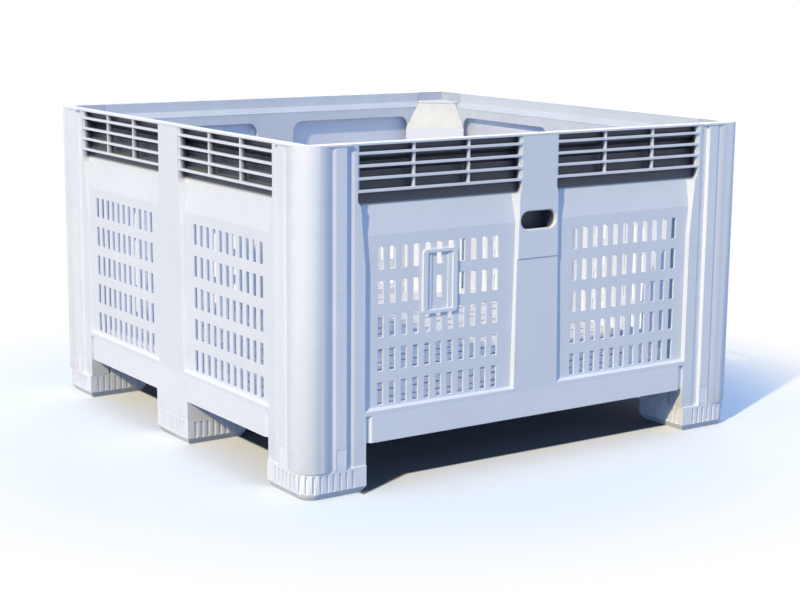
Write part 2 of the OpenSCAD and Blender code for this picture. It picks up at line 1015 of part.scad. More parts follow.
module corner_foot() {
    a = inner_q + leg_wall + fit;
    b = leg_w - leg_wall - fit;
    w = leg_w - foot_set;
    r = corner_r - foot_set;
    first = r + 2 * groove_pitch - r * PI / 4;
    turn = groove_pitch / r * 180 / PI;
    color("DarkGray")
        difference() {
            union() {
                translate([foot_set, foot_set, 0])
                    foot_block(w, w);
                foot_spigot(a, b, a, b, leg_c, leg_c);
                for (s = [0, 1])
                    mirror([s, -s, 0])
                        box(
                            flute_end + 1 + fit, ridge_end - 1 - fit, ridge_set + 1, ridge_set + 8,
                            foot_h - 1, foot_h + snap_h);
            }
            translate([foot_set, foot_set, 0]) {
                translate([0, 0, -1])
                    linear_extrude(foot_h + 2)
                        corner_waste(r);
                sole_corner_waste(r);
                for (s = [0, 1])
                    mirror([s, -s, 0]) {
                        side_grooves(first, groove_count(w - first));
                        translate([0, w, 0])
                            mirror([0, 1, 0])
                                centred_grooves(w);
                    }
                for (t = [45 - turn, 45, 45 + turn])
                    translate([r, r, sole_cham_h])
                        rotate(180 + t)
                            translate([r - groove_d, -groove_w / 2, 0])
                                cube([groove_d + 1, groove_w, foot_h - sole_cham_h - foot_band]);
            }
            translate([leg_c, leg_c, 0])
                bolt_room();
        }
}

module centre_foot() {
    w = leg_w / 2;
    color("DarkGray")
        difference() {
            union() {
                translate([-w, 0, 0])
                    foot_block(leg_w, leg_d);
                foot_spigot(
                    leg_wall + fit - w, w - leg_wall - fit, leg_wall + fit, leg_d - leg_wall - fit,
                    0, leg_d / 2);
            }
            translate([-w, 0, 0]) {
                centred_grooves(leg_w);
                translate([0, leg_d, 0])
                    mirror([0, 1, 0])
                        centred_grooves(leg_w);
                mirror([1, -1, 0])
                    centred_grooves(leg_d);
            }
            translate([w, 0, 0])
                rotate(90)
                    centred_grooves(leg_d);
            translate([0, leg_d / 2, 0])
                bolt_room();
        }
}

// Card holder

module card_holder() {
    x = card_w / 2;
    z0 = card_z - card_h / 2;
    z1 = card_z + card_h / 2;
    k = card_bar + card_flange;
    color("White")
        translate([-bay_mid, 0, 0]) {
            inward(panel_set - card_d, panel_set)
                difference() {
                    round_rect(-x, z0, x, z1, card_r);
                    translate([card_bar - x, z0 + card_rail])
                        square([card_w - 2 * card_bar, card_h - 2 * card_rail]);
                }
            inward(panel_set - 2, panel_set)
                difference() {
                    translate([1 - x + card_bar / 2, z0 + card_rail / 2])
                        square([card_w - card_bar - 2, card_h - card_rail]);
                    translate([k - x, z0 + card_rail + 1])
                        square([card_w - 2 * k, card_h - 2 * card_rail - 2]);
                }
            for (s = [-1, 1], z = [card_row - 14, card_row + 14])
                box(
                    s * slot_pitch - card_leg_w / 2 + 0.2, s * slot_pitch + card_leg_w / 2 - 0.2,
                    panel_set - 1, panel_set + panel_t + 1, z - card_leg_h / 2, z + card_leg_h / 2);
        }
}

// Fasteners

module foot_bolt() {
    translate([0, 0, bolt_gap])
        cylinder(d = bolt_head, h = bolt_head_t);
    translate([0, 0, bolt_gap])
        cylinder(d = bolt_d, h = bolt_l + foot_h - 60);
}

module foot_bolts() {
    color("SlateGray") {
        for (k = [0 : 3])
            on_corner(k)
                translate([leg_c, leg_c, 0])
                    foot_bolt();
        for (k = [1, 3])
            on_side(k)
                translate([0, leg_d / 2, 0])
                    foot_bolt();
    }
}

for (k = [0 : 3]) {
    on_side(k)
            wall_frame(k % 2 == 0);
    on_side(k)
            inner_liner();
    on_side(k)
            rim_rail();
    for (b = [0, 1]) {
        on_side(k)
                mirror([1 - b, 0, 0])
                    vent_panel();
        on_side(k)
                mirror([1 - b, 0, 0])
                    louvre();
    }
    on_corner(k)
            corner_post();
    on_corner(k)
            corner_cap();
    on_corner(k)
            corner_foot();
}
on_side(3)  // left_centre_foot
        centre_foot();
on_side(1)  // right_centre_foot
        centre_foot();
pallet_base();
floor_deck();
on_side(0)
        card_holder();
foot_bolts();
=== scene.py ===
"""Looks of a ventilated orchard fruit bin: satin white plastic walls, posts, rim and feet."""
import json
import logging
import math
from dataclasses import dataclass, field
from enum import Enum
from typing import Iterable

import bmesh
import bpy
from mathutils import Matrix, Vector

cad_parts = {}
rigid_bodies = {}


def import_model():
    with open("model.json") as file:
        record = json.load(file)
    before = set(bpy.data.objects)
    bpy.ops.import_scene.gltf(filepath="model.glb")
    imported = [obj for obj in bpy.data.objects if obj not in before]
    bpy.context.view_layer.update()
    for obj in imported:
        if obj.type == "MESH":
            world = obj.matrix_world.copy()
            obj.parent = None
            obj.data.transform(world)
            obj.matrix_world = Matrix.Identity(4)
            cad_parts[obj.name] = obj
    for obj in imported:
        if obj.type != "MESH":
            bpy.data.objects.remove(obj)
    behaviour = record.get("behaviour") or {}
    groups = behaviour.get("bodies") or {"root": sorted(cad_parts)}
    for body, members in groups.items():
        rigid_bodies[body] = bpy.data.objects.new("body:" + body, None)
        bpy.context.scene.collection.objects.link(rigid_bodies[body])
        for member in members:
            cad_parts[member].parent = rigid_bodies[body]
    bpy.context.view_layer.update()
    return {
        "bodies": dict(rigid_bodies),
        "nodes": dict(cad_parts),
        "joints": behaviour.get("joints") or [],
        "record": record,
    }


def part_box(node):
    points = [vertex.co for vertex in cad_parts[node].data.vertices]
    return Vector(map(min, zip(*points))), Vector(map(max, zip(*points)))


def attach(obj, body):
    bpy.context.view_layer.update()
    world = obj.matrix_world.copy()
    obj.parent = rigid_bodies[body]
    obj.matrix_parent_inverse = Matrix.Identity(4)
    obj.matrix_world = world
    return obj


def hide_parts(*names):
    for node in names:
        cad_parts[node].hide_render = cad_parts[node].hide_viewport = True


LOG = logging.getLogger("fruit_bin")
MM = 0.001
WELD_GAP = 0.01 * MM
FLAT_ANGLE = math.radians(0.5)
EDGE_ANGLE = math.radians(32.0)


class Side(Enum):
    """The four walls, counted round from the front one."""

    FRONT = 0
    RIGHT = 1
    REAR = 2
    LEFT = 3


class Corner(Enum):
    """The four corners, counted round from the front left one."""

    FRONT_LEFT = 0
    FRONT_RIGHT = 1
    REAR_RIGHT = 2
    REAR_LEFT = 3


class Bay(Enum):
    """The two bays of a wall, left and right of its column seen from outside."""

    A = "bay_a"
    B = "bay_b"


# Shader helpers


@dataclass
class NodeTree:
    """A thin wrapper that places and links the nodes of one tree."""

    tree: bpy.types.NodeTree
    mix_inputs: tuple[int, int, int] = (0, 6, 7)
    mix_output: int = 2

    def add(self, kind: str, **settings: object) -> bpy.types.Node:
        """Place a node.

        Args:
            kind: Blender's class name of the node.
            settings: attributes to set on it.

        Returns:
            The new node.
        """
        node = self.tree.nodes.new(kind)
        for name, value in settings.items():
            setattr(node, name, value)
        return node

    def link(self, out: bpy.types.NodeSocket, into: bpy.types.NodeSocket) -> None:
        """Join two sockets."""
        self.tree.links.new(out, into)

    def feed(self, value: object, into: bpy.types.NodeSocket) -> None:
        """Link a socket, or set a plain value, on an input."""
        if isinstance(value, bpy.types.NodeSocket):
            self.link(value, into)
        else:
            into.default_value = value

    def math(self, op: str, a: object, b: object = 0.0, c: object = 0.0) -> bpy.types.NodeSocket:
        """Place a maths node.

        Args:
            op: the operation.
            a: first value or socket.
            b: second value or socket.
            c: third value or socket, where the operation takes three.

        Returns:
            The node's value socket.
        """
        node = self.add("ShaderNodeMath", operation=op)
        for value, socket in zip((a, b, c), node.inputs):
            self.feed(value, socket)
        return node.outputs[0]

    def product(self, *values: object) -> bpy.types.NodeSocket:
        """Multiply any number of values.

        Args:
            values: the sockets or numbers.

        Returns:
            The product's socket.
        """
        result = values[0]
        for value in values[1:]:
            result = self.math("MULTIPLY", result, value)
        return result

    def step(self, value: object, edge: float, above: bool) -> bpy.types.NodeSocket:
        """Tell on which side of an edge a value lies.

        Args:
            value: the socket to test.
            edge: where the answer changes.
            above: whether 1 stands for above or for below.

        Returns:
            A socket that is 0 or 1.
        """
        return self.math("GREATER_THAN" if above else "LESS_THAN", value, edge)

    def ramp(self, value: object, low: float, high: float, out_low: float = 0.0,
             out_high: float = 1.0) -> bpy.types.NodeSocket:
        """Map a value smoothly from one range to another.

        Args:
            value: the socket to map.
            low: where the change starts.
            high: where the change ends.
            out_low: the result at low.
            out_high: the result at high.

        Returns:
            The mapped value's socket.
        """
        node = self.add("ShaderNodeMapRange", interpolation_type="SMOOTHSTEP")
        self.feed(value, node.inputs["Value"])
        node.inputs["From Min"].default_value = low
        node.inputs["From Max"].default_value = high
        node.inputs["To Min"].default_value = out_low
        node.inputs["To Max"].default_value = out_high
        return node.outputs["Result"]

    def noise(self, vector: object, scale: float, detail: float = 3.0,
              roughness: float = 0.55) -> bpy.types.NodeSocket:
        """Place a noise texture.

        Args:
            vector: the coordinates.
            scale: cells for each metre.
            detail: octaves.
            roughness: weight of the finer octaves.

        Returns:
            The noise value's socket.
        """
        node = self.add("ShaderNodeTexNoise")
        self.feed(vector, node.inputs["Vector"])
        node.inputs["Scale"].default_value = scale
        node.inputs["Detail"].default_value = detail
        node.inputs["Roughness"].default_value = roughness
        return node.outputs["Fac"]

    def split(self, vector: bpy.types.NodeSocket) -> tuple[bpy.types.NodeSocket, ...]:
        """Take a vector apart.

        Args:
            vector: the vector's socket.

        Returns:
            The sockets of its X, Y and Z.
        """
        node = self.add("ShaderNodeSeparateXYZ")
        self.link(vector, node.inputs[0])
        return tuple(node.outputs)

    def either(self, factor: object, a: bpy.types.NodeSocket, b: bpy.types.NodeSocket) -> bpy.types.NodeSocket:
        """Mix two shaders.

        Args:
            factor: how much of b.
            a: first shader's socket.
            b: second shader's socket.

        Returns:
            The mixed shader's socket.
        """
        node = self.add("ShaderNodeMixShader")
        for value, socket in zip((factor, a, b), node.inputs):
            self.feed(value, socket)
        return node.outputs[0]

    def mix(self, factor: object, a: object, b: object) -> bpy.types.NodeSocket:
        """Mix two colours.

        Args:
            factor: how much of b.
            a: first colour or socket.
            b: second colour or socket.

        Returns:
            The mixed colour's socket.
        """
        node = self.add("ShaderNodeMix", data_type="RGBA")
        for value, place in zip((factor, a, b), self.mix_inputs):
            self.feed(value, node.inputs[place])
        return node.outputs[self.mix_output]


def new_group(name: str, inputs: Iterable[tuple[str, str, object]],
              outputs: Iterable[tuple[str, str]]) -> tuple[NodeTree, bpy.types.Node, bpy.types.Node]:
    """Start a shader node group.

    Args:
        name: the group's name.
        inputs: name, socket type and default of each input.
        outputs: name and socket type of each output.

    Returns:
        The wrapped tree, its input node and its output node.
    """
    tree = bpy.data.node_groups.new(name, "ShaderNodeTree")
    for label, kind, value in inputs:
        socket = tree.interface.new_socket(label, in_out="INPUT", socket_type=kind)
        if value is not None:
            socket.default_value = value
    for label, kind in outputs:
        tree.interface.new_socket(label, in_out="OUTPUT", socket_type=kind)
    wrap = NodeTree(tree)
    return wrap, wrap.add("NodeGroupInput"), wrap.add("NodeGroupOutput")


def new_material(name: str) -> tuple[bpy.types.Material, NodeTree, bpy.types.NodeSocket, bpy.types.NodeSocket]:
    """Start a material with no shader.

    Args:
        name: the material's name.

    Returns:
        The material, its wrapped tree, the socket of the piece's own coordinates and the surface's input.
    """
    material = bpy.data.materials.new(name)
    material.use_nodes = True
    material.node_tree.nodes.clear()
    wrap = NodeTree(material.node_tree)
    where = wrap.add("ShaderNodeTexCoord").outputs["Object"]
    return material, wrap, where, wrap.add("ShaderNodeOutputMaterial").inputs["Surface"]


@dataclass
class PlasticEffects:
    """Node groups that the plastic finishes share."""

    wall_plane: float = 0.5905
    panel_set: float = 0.008
    lean: float = 0.1496
    lean_z: float = 0.535
    panel_z: float = 0.6625
    window_z: float = 0.600
    side_shadow_rise: float = 0.008
    band_z: float = 0.696
    band_back: float = 0.0215
    ledge_fall: float = 0.45
    rim_z: float = 0.7185
    liner_back: float = 0.0465
    column_half: float = 0.0475
    step_z: float = 0.455
    inner_face: float = 0.050
    band_front: float = 0.024
    ledge_z: float = 0.685
    deck_z: float = 0.158
    gusset_z: float = 0.628
    panel_skin: tuple[float, float] = (0.0010, 0.0030)
    window_fade: tuple[float, float] = (-0.006, 0.002)
    panel_lip: float = 0.0015
    ledge_fade: tuple[float, float] = (-0.001, 0.001)
    louvre_fade: tuple[float, float] = (0.004, 0.014)
    hole_fade: tuple[float, float] = (0.004, 0.012)
    face_fade: tuple[float, float] = (0.002, 0.0005)
    ground_rise: float = 0.19
    broad_noise: tuple[float, ...] = (3.5, 2.0)
    close_noise: tuple[float, ...] = (27.0, 4.0, 0.6)
    close_part: float = 0.4
    fine_noise: tuple[float, ...] = (620.0, 3.0, 0.6)
    ripple_noise: tuple[float, ...] = (46.0, 2.0, 0.5)
    ripple_part: float = 1.4
    speck_noise: tuple[float, ...] = (17.0, 5.0, 0.65)
    ground_specks: tuple[float, float] = (0.3, 0.72)
    film_specks: tuple[float, ...] = (0.25, 0.75, 0.75, 1.0)
    rub_stretch: tuple[float, float, float] = (1.0, 1.0, 14.0)
    rub_turn: tuple[float, float, float] = (0.12, -0.09, 0.0)
    rub_noise: tuple[float, ...] = (9.0, 6.0, 0.7)
    rub_lines: tuple[float, float] = (0.56, 0.74)
    patch_noise: tuple[float, ...] = (2.3, 2.0)
    rub_patches: tuple[float, float] = (0.45, 0.7)

    def __post_init__(self) -> None:
        """Build the groups once."""
        self.mottle = self._mottle()
        self.grain = self._grain()
        self.grime_and_shade = self._grime_and_shade()
        self.scuff = self._scuff()

    def _mottle(self) -> bpy.types.NodeTree:
        """Return a group of slow cloudy variation from 0 to 1."""
        wrap, given, result = new_group(
            "plastic_mottle",
            [("Vector", "NodeSocketVector", None)],
            [("Value", "NodeSocketFloat")])
        broad = wrap.noise(given.outputs["Vector"], *self.broad_noise)
        close = wrap.noise(given.outputs["Vector"], *self.close_noise)
        rest = wrap.math("MULTIPLY", broad, 1.0 - self.close_part)
        wrap.link(wrap.math("MULTIPLY_ADD", close, self.close_part, rest), result.inputs["Value"])
        return wrap.tree

    def _grain(self) -> bpy.types.NodeTree:
        """Return a group of fine mould texture, as a height."""
        wrap, given, result = new_group(
            "mould_grain",
            [("Vector", "NodeSocketVector", None)],
            [("Height", "NodeSocketFloat")])
        fine = wrap.noise(given.outputs["Vector"], *self.fine_noise)
        ripple = wrap.noise(given.outputs["Vector"], *self.ripple_noise)
        wrap.link(wrap.math("MULTIPLY_ADD", ripple, self.ripple_part, fine), result.inputs["Height"])
        return wrap.tree

    def _grime_and_shade(self) -> bpy.types.NodeTree:
        """Return a group of masks: painted shade behind the louvres and in the hand holes, dust low down, and a
        dust film with painted shade inside the bin.
        """
        wrap, given, result = new_group(
            "dirt_and_painted_shade",
            [("Vector", "NodeSocketVector", None)],
            [("Recess", "NodeSocketFloat"), ("Ground", "NodeSocketFloat"), ("Inside", "NodeSocketFloat")])
        x, y, height = wrap.split(given.outputs["Vector"])
        across, along = wrap.math("ABSOLUTE", x), wrap.math("ABSOLUTE", y)
        depth = wrap.math("SUBTRACT", self.wall_plane, wrap.math("MAXIMUM", across, along))
        # Painted shade: darkens the hollows behind the louvres and inside the hollow columns in the colour
        # itself
        recess = wrap.math("MAXIMUM", self._shade_behind_louvres(wrap, across, along, height, depth),
                           self._shade_in_hand_holes(wrap, across, along, height, depth))
        wrap.link(recess, result.inputs["Recess"])
        speck = wrap.noise(given.outputs["Vector"], *self.speck_noise)
        low = wrap.ramp(height, 0.0, self.ground_rise, 1.0, 0.0)
        wrap.link(wrap.product(low, low, wrap.ramp(speck, *self.ground_specks)), result.inputs["Ground"])
        # Inside: a speckled dust film mask on the inner faces, which also carries painted shade there
        wall, band = (wrap.ramp(depth, *(face - fade for fade in self.face_fade))
                      for face in (self.inner_face, self.band_front))
        within = wrap.math("MAXIMUM", wall, wrap.product(band, wrap.step(height, self.ledge_z, above=True)))
        inside = wrap.product(within, wrap.step(height, self.deck_z, above=True),
                              wrap.ramp(speck, *self.film_specks))
        wrap.link(inside, result.inputs["Inside"])
        return wrap.tree

    def _shade_behind_louvres(self, wrap: NodeTree, across: bpy.types.NodeSocket, along: bpy.types.NodeSocket,
                        height: bpy.types.NodeSocket, depth: bpy.types.NodeSocket) -> bpy.types.NodeSocket:
        """Mask where shade is painted behind the louvres: the panel's top, the liner's back and the rim band's
        back.

        Args:
            wrap: the group's tree.
            across: distance from the middle, left or right.
            along: distance from the middle, front or rear.
            height: height over the ground.
            depth: distance in from the wall's face.

        Returns:
            A socket that is 1 where shade is painted.
        """
        slope = wrap.math("MULTIPLY", wrap.math("SUBTRACT", height, self.lean_z), self.lean)
        behind = wrap.math("SUBTRACT", depth, wrap.math("ADD", slope, self.panel_set))
        # The painted shade ends higher on the left and right walls, where the key lamp's shadow under the lowest
        # louvre is shorter
        sideways = wrap.math("GREATER_THAN", across, along)
        above = wrap.math("SUBTRACT", wrap.math("SUBTRACT", height, self.window_z),
                          wrap.math("MULTIPLY", sideways, self.side_shadow_rise))
        panel_face = wrap.product(wrap.ramp(behind, *self.panel_skin, 1.0, 0.0),
                                  wrap.ramp(above, *self.window_fade),
                                  wrap.step(height, self.panel_z, above=False))
        liner_back = wrap.product(wrap.step(height, self.panel_z - self.panel_lip, above=True),
                                  wrap.step(height, self.band_z, above=False),
                                  wrap.step(depth, self.liner_back, above=False))
        under = wrap.math("SUBTRACT", wrap.math("SUBTRACT", self.band_z, height),
                          wrap.math("MULTIPLY", wrap.math("SUBTRACT", depth, self.band_back), self.ledge_fall))
        band_back = wrap.product(wrap.step(height, self.rim_z, above=False),
                                 wrap.step(height, self.band_z, above=True),
                                 wrap.step(depth, self.band_back, above=False))
        window = wrap.math("MAXIMUM", wrap.math("MAXIMUM", panel_face, band_back),
                           wrap.math("MULTIPLY", liner_back, wrap.ramp(under, *self.ledge_fade)))
        return wrap.math("MULTIPLY", window, wrap.ramp(depth, *self.louvre_fade))

    def _shade_in_hand_holes(self, wrap: NodeTree, across: bpy.types.NodeSocket, along: bpy.types.NodeSocket,
                   height: bpy.types.NodeSocket, depth: bpy.types.NodeSocket) -> bpy.types.NodeSocket:
        """Mask the inside of the hollow columns, which shows through the hand holes, where shade is painted.

        Args:
            wrap: the group's tree.
            across: distance from the middle, left or right.
            along: distance from the middle, front or rear.
            height: height over the ground.
            depth: distance in from the wall's face.

        Returns:
            A socket that is 1 where shade is painted.
        """
        narrow = wrap.step(wrap.math("MINIMUM", across, along), self.column_half, above=False)
        return wrap.product(narrow, wrap.ramp(depth, *self.hole_fade),
                            wrap.step(depth, self.liner_back, above=False),
                            wrap.step(height, self.step_z, above=True),
                            wrap.step(height, self.panel_z, above=False))

    def _scuff(self) -> bpy.types.NodeTree:
        """Return a group of long thin rub marks, as a mask."""
        wrap, given, result = new_group(
            "rub_marks",
            [("Vector", "NodeSocketVector", None), ("Amount", "NodeSocketFloat", 0.3)],
            [("Mask", "NodeSocketFloat")])
        stretch = wrap.add("ShaderNodeMapping")
        wrap.link(given.outputs["Vector"], stretch.inputs["Vector"])
        stretch.inputs["Scale"].default_value = self.rub_stretch
        stretch.inputs["Rotation"].default_value = self.rub_turn
        lines = wrap.noise(stretch.outputs["Vector"], *self.rub_noise)
        patch = wrap.ramp(wrap.noise(given.outputs["Vector"], *self.patch_noise), *self.rub_patches)
        mask = wrap.math("MULTIPLY", wrap.ramp(lines, *self.rub_lines), patch)
        wrap.link(wrap.math("MULTIPLY", mask, given.outputs["Amount"]), result.inputs["Mask"])
        return wrap.tree


# Finishes


@dataclass(frozen=True)
class PlasticFinish:
    """Moulded satin polyethylene."""

    name: str
    colour: tuple[float, float, float]
    shade: tuple[float, float, float]
    dust: tuple[float, float, float] = (0.30, 0.27, 0.23)
    # painted shade colour for the hollows behind the louvres and in the hand holes
    recess: tuple[float, float, float] = (0.020, 0.023, 0.036)
    # dusty film tint inside the bin, which also paints the inside's shade
    film_and_shade: tuple[float, float, float] = (0.46, 0.50, 0.575)
    rub: tuple[float, float, float] = (0.60, 0.61, 0.63)
    tone_range: tuple[float, float] = (0.3, 0.7)
    roughness: float = 0.42
    roughness_range: tuple[float, float] = (-0.05, 0.06)
    painted_shade_amount: float = 0.9
    ground_amount: float = 0.3
    film_and_shade_amount: float = 0.66
    # extra painted shade on inner faces above gusset_z, dimming the brightly lit upper post faces
    shade_above_gusset: float = 0.0
    rub_amount: float = 0.3
    grain_height: float = 0.06
    grain_depth: float = 2.0 * MM
    film_edge: float = 1.0 * MM
    ior: float = 1.5

    def build(self, effects: PlasticEffects) -> bpy.types.Material:
        """Make the material.

        Args:
            effects: the shared node groups.

        Returns:
            The finished material.
        """
        material, wrap, where, surface = new_material(self.name)
        parts = {}
        for label, tree in (("mottle", effects.mottle), ("grain", effects.grain),
                            ("grime_and_shade", effects.grime_and_shade), ("scuff", effects.scuff)):
            node = wrap.add("ShaderNodeGroup", node_tree=tree)
            wrap.link(where, node.inputs["Vector"])
            parts[label] = node
        parts["scuff"].inputs["Amount"].default_value = self.rub_amount
        cloud = parts["mottle"].outputs["Value"]
        tone = wrap.mix(wrap.ramp(cloud, *self.tone_range), (*self.shade, 1.0), (*self.colour, 1.0))
        worn = wrap.mix(parts["scuff"].outputs["Mask"], tone, (*self.rub, 1.0))
        dusty = wrap.mix(wrap.math("MULTIPLY", parts["grime_and_shade"].outputs["Ground"], self.ground_amount),
                         worn, (*self.dust, 1.0))
        _, _, height = wrap.split(where)
        # dust film plus painted shade on the inner faces, stronger above the gusset
        film_and_shade_share = wrap.ramp(height, effects.gusset_z - self.film_edge, effects.gusset_z + self.film_edge,
                         self.film_and_shade_amount, self.film_and_shade_amount + self.shade_above_gusset)
        film_and_shaded = wrap.mix(wrap.math("MULTIPLY", parts["grime_and_shade"].outputs["Inside"], film_and_shade_share),
                          dusty, (*self.film_and_shade, 1.0))
        # painted shade: darkens the hollows behind the louvres and in the hand holes
        dark = wrap.mix(wrap.math("MULTIPLY", parts["grime_and_shade"].outputs["Recess"], self.painted_shade_amount),
                        film_and_shaded, (*self.recess, 1.0))
        rough = wrap.math("ADD", wrap.ramp(cloud, *self.tone_range, *self.roughness_range), self.roughness)
        bump = wrap.add("ShaderNodeBump")
        bump.inputs["Strength"].default_value = self.grain_height
        bump.inputs["Distance"].default_value = self.grain_depth
        wrap.link(parts["grain"].outputs["Height"], bump.inputs["Height"])
        shader = wrap.add("ShaderNodeBsdfPrincipled")
        shader.inputs["IOR"].default_value = self.ior
        wrap.link(dark, shader.inputs["Base Color"])
        wrap.link(rough, shader.inputs["Roughness"])
        wrap.link(bump.outputs["Normal"], shader.inputs["Normal"])
        wrap.link(shader.outputs["BSDF"], surface)
        return material


@dataclass(frozen=True)
class ZincFinish:
    """Zinc-plated steel of the small fasteners."""

    name: str = "zinc_plate"
    bright: tuple[float, float, float] = (0.62, 0.63, 0.65)
    dull: tuple[float, float, float] = (0.42, 0.43, 0.44)
    spangle_noise: tuple[float, ...] = (260.0, 4.0, 0.6)
    spangle_tone: tuple[float, float] = (0.35, 0.7)
    spangle_rough: tuple[float, ...] = (0.3, 0.7, 0.32, 0.5)

    def build(self) -> bpy.types.Material:
        """Return the finished material."""
        material, wrap, where, surface = new_material(self.name)
        spangle = wrap.noise(where, *self.spangle_noise)
        colour = wrap.mix(wrap.ramp(spangle, *self.spangle_tone), (*self.dull, 1.0), (*self.bright, 1.0))
        shader = wrap.add("ShaderNodeBsdfPrincipled")
        shader.inputs["Metallic"].default_value = 1.0
        wrap.link(colour, shader.inputs["Base Color"])
        wrap.link(wrap.ramp(spangle, *self.spangle_rough), shader.inputs["Roughness"])
        wrap.link(shader.outputs["BSDF"], surface)
        return material


# Sub-assemblies


@dataclass(frozen=True)
class Finishes:
    """The finished materials of the whole bin."""

    wall: bpy.types.Material
    post: bpy.types.Material
    shelf: bpy.types.Material
    base: bpy.types.Material
    foot: bpy.types.Material
    zinc: bpy.types.Material


def dress_node(frame: dict, name: str, material: bpy.types.Material, edge: float, segments: int = 2) -> None:
    """Give a CAD node its finish and rounded edges.

    Args:
        name: the node.
        material: its finish.
        edge: the width of the rounding.
        segments: the faces across the rounding.
    """
    obj = frame["nodes"][name]
    obj.data.materials.clear()
    obj.data.materials.append(material)
    weld = obj.modifiers.new("join_facets", "WELD")
    weld.merge_threshold = WELD_GAP
    flat = obj.modifiers.new("join_flats", "DECIMATE")
    flat.decimate_type = "DISSOLVE"
    flat.angle_limit = FLAT_ANGLE
    rounding = obj.modifiers.new("round_edges", "BEVEL")
    rounding.width = edge
    rounding.segments = segments
    rounding.limit_method = "ANGLE"
    rounding.angle_limit = EDGE_ANGLE
    rounding.harden_normals = True
    rounding.profile = 0.5
    LOG.info("dressed %s with %s", name, material.name)


@dataclass
class Wall:
    """One framed wall: frame, liner, rim rail, and a vent panel and a louvre in either bay."""

    side: Side
    frame_edge: float = 1.6 * MM
    liner_edge: float = 1.2 * MM
    rail_edge: float = 1.5 * MM
    panel_edge: float = 0.9 * MM
    louvre_edge: float = 0.9 * MM

    def dress(self, frame: dict, finishes: Finishes) -> None:
        """Dress every piece of the wall.

        Args:
            finishes: the bin's materials.
        """
        name = self.side.name.lower()
        dress_node(frame, f"{name}_wall_frame", finishes.wall, self.frame_edge)
        dress_node(frame, f"{name}_inner_liner", finishes.wall, self.liner_edge)
        dress_node(frame, f"{name}_rim_rail", finishes.wall, self.rail_edge)
        for bay in Bay:
            dress_node(frame, f"{name}_vent_panel_{bay.value}", finishes.wall, self.panel_edge, 1)
            dress_node(frame, f"{name}_louvre_{bay.value}", finishes.wall, self.louvre_edge)


@dataclass
class CornerStack:
    """One corner: the fluted post, the shelf in its top and the ribbed foot under it."""

    corner: Corner
    post_edge: float = 2.4 * MM
    shelf_edge: float = 1.5 * MM
    foot_edge: float = 1.0 * MM

    def dress(self, frame: dict, finishes: Finishes) -> None:
        """Dress every piece of the corner.

        Args:
            finishes: the bin's materials.
        """
        name = self.corner.name.lower()
        dress_node(frame, f"{name}_post", finishes.post, self.post_edge, 3)
        dress_node(frame, f"{name}_cap", finishes.shelf, self.shelf_edge)
        dress_node(frame, f"{name}_foot", finishes.foot, self.foot_edge)


@dataclass
class PalletBase:
    """The ribbed base, the slotted floor on it and the two feet halfway along its sides."""

    base_edge: float = 1.0 * MM
    deck_edge: float = 0.8 * MM
    foot_edge: float = 1.0 * MM

    def dress(self, frame: dict, finishes: Finishes) -> None:
        """Dress every piece of the base.

        Args:
            finishes: the bin's materials.
        """
        dress_node(frame, "pallet_base", finishes.base, self.base_edge)
        dress_node(frame, "floor_deck", finishes.base, self.deck_edge, 1)
        for side in (Side.LEFT, Side.RIGHT):
            dress_node(frame, f"{side.name.lower()}_centre_foot", finishes.foot, self.foot_edge)


@dataclass
class CardHolder:
    """The raised frame for a field card on the front wall."""

    edge: float = 1.6 * MM

    def dress(self, frame: dict, finishes: Finishes) -> None:
        """Dress the frame.

        Args:
            finishes: the bin's materials.
        """
        dress_node(frame, "card_holder", finishes.post, self.edge, 3)


@dataclass
class FootBolts:
    """Socket-head bolts, one up through each foot."""

    corner_at: float = 492.1 * MM
    centre_at: float = 515.5 * MM
    head_r: float = 9.0 * MM
    head_t: float = 4.0 * MM
    head_round: float = 1.2 * MM
    shank_r: float = 4.0 * MM
    socket_r: float = 4.2 * MM
    socket_d: float = 2.6 * MM
    tip: float = 1.0 * MM
    sides: int = 32

    def places(self) -> list[tuple[float, float]]:
        """Return where each bolt stands, in plan."""
        corners = [(x, y) for x in (-self.corner_at, self.corner_at) for y in (-self.corner_at, self.corner_at)]
        return corners + [(-self.centre_at, 0.0), (self.centre_at, 0.0)]

    def rings(self, low: float, high: float) -> list[tuple[int, float, float]]:
        """Return the rings of one bolt, from the socket's floor to the shank's tip.

        Args:
            low: the height of the head's underside.
            high: the height of the tip.

        Returns:
            Sides, radius and height of each ring.
        """
        top = low + self.head_t
        return [
            (6, self.socket_r, low + self.socket_d),
            (6, self.socket_r, low),
            (self.sides, self.head_r - self.head_round, low),
            (self.sides, self.head_r, low + self.head_round),
            (self.sides, self.head_r, top),
            (self.sides, self.shank_r, top),
            (self.sides, self.shank_r, high - self.tip),
            (self.sides, self.shank_r - self.tip, high),
        ]

    def build(self, finishes: Finishes) -> bpy.types.Object:
        """Model the six bolts as one piece that stands for the CAD group.

        Args:
            finishes: the bin's materials.

        Returns:
            The new object.
        """
        low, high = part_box("foot_bolts")
        mesh = bmesh.new()
        for x, y in self.places():
            edges = []
            for sides, radius, z in self.rings(low[2], high[2]):
                ring = bmesh.ops.create_circle(
                    mesh, segments=sides, radius=radius, matrix=Matrix.Translation((x, y, z)))
                edges.append(list({e for v in ring["verts"] for e in v.link_edges}))
            for first, second in zip(edges, edges[1:]):
                bmesh.ops.bridge_loops(mesh, edges=first + second)
            bmesh.ops.holes_fill(mesh, edges=edges[0] + edges[-1], sides=self.sides)
        bmesh.ops.recalc_face_normals(mesh, faces=mesh.faces)
        data = bpy.data.meshes.new("foot_bolt_set")
        mesh.to_mesh(data)
        mesh.free()
        piece = bpy.data.objects.new("foot_bolt_set", data)
        bpy.context.collection.objects.link(piece)
        data.materials.append(finishes.zinc)
        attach(piece, "root")
        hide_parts("foot_bolts")
        LOG.info("built %s in place of foot_bolts", piece.name)
        return piece


# Stage


